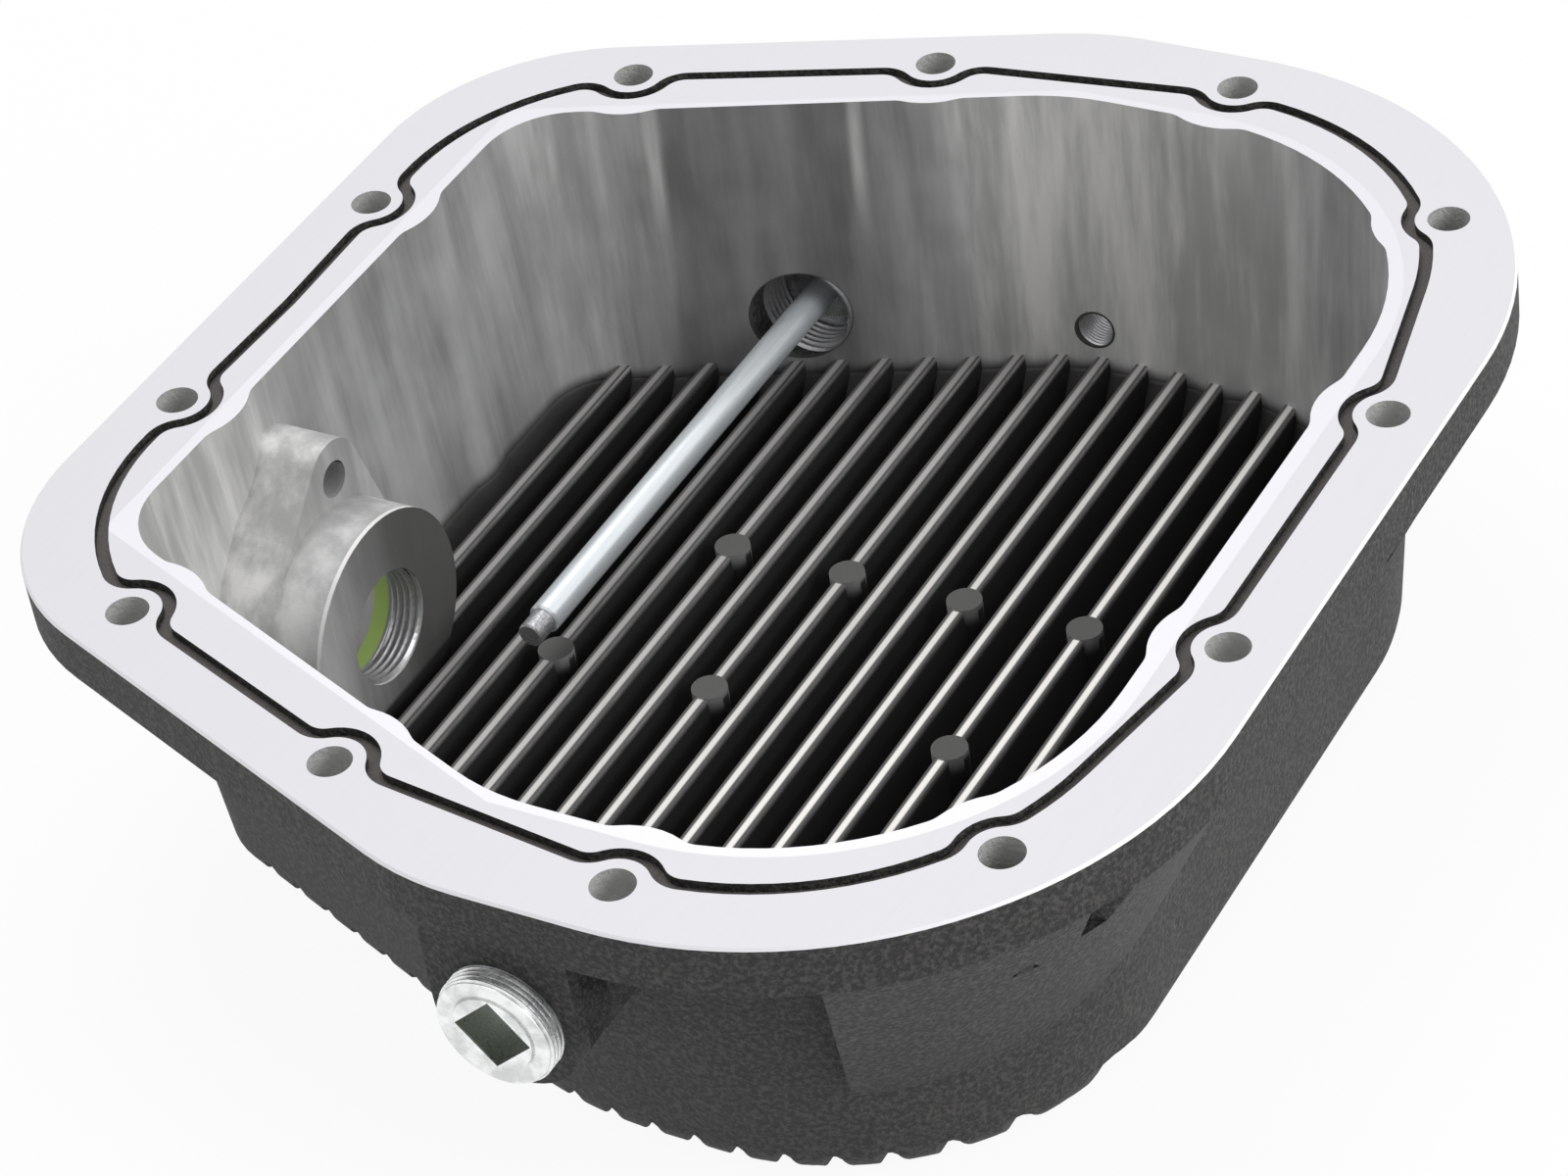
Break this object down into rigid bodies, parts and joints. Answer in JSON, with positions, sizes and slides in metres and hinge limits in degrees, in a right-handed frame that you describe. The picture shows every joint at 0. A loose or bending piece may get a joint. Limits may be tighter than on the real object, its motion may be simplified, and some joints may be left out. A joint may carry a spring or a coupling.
{
  "type": "differential cover",
  "caption": "Deep cast differential cover: bolted flange with a seal groove, a finned pan inside, cooling fins underneath, a drain plug and a dipstick on its fill plug.",
  "frame": {"origin": "middle of the part in plan, on the plane that the outer fins stand on", "axes": "+Z out of the open pan, square to the flange face; Y along the fins and across the mirrored bolt pairs; X along the mirror line, towards the side with the largest corner rounds"},
  "size_m": [0.2956, 0.34, 0.099],
  "materials": {
    "casting": "sand cast with a milled flange face",
    "plug": "zinc plated",
    "rod": "ground steel",
    "magnet": "nickel plated"
  },
  "bodies": {
    "root": {"cover_casting": "casting", "drain_plug": "plug", "fill_plug": "plug", "dipstick_rod": "rod", "dipstick_magnet": "magnet"}
  },
  "joints": []
}
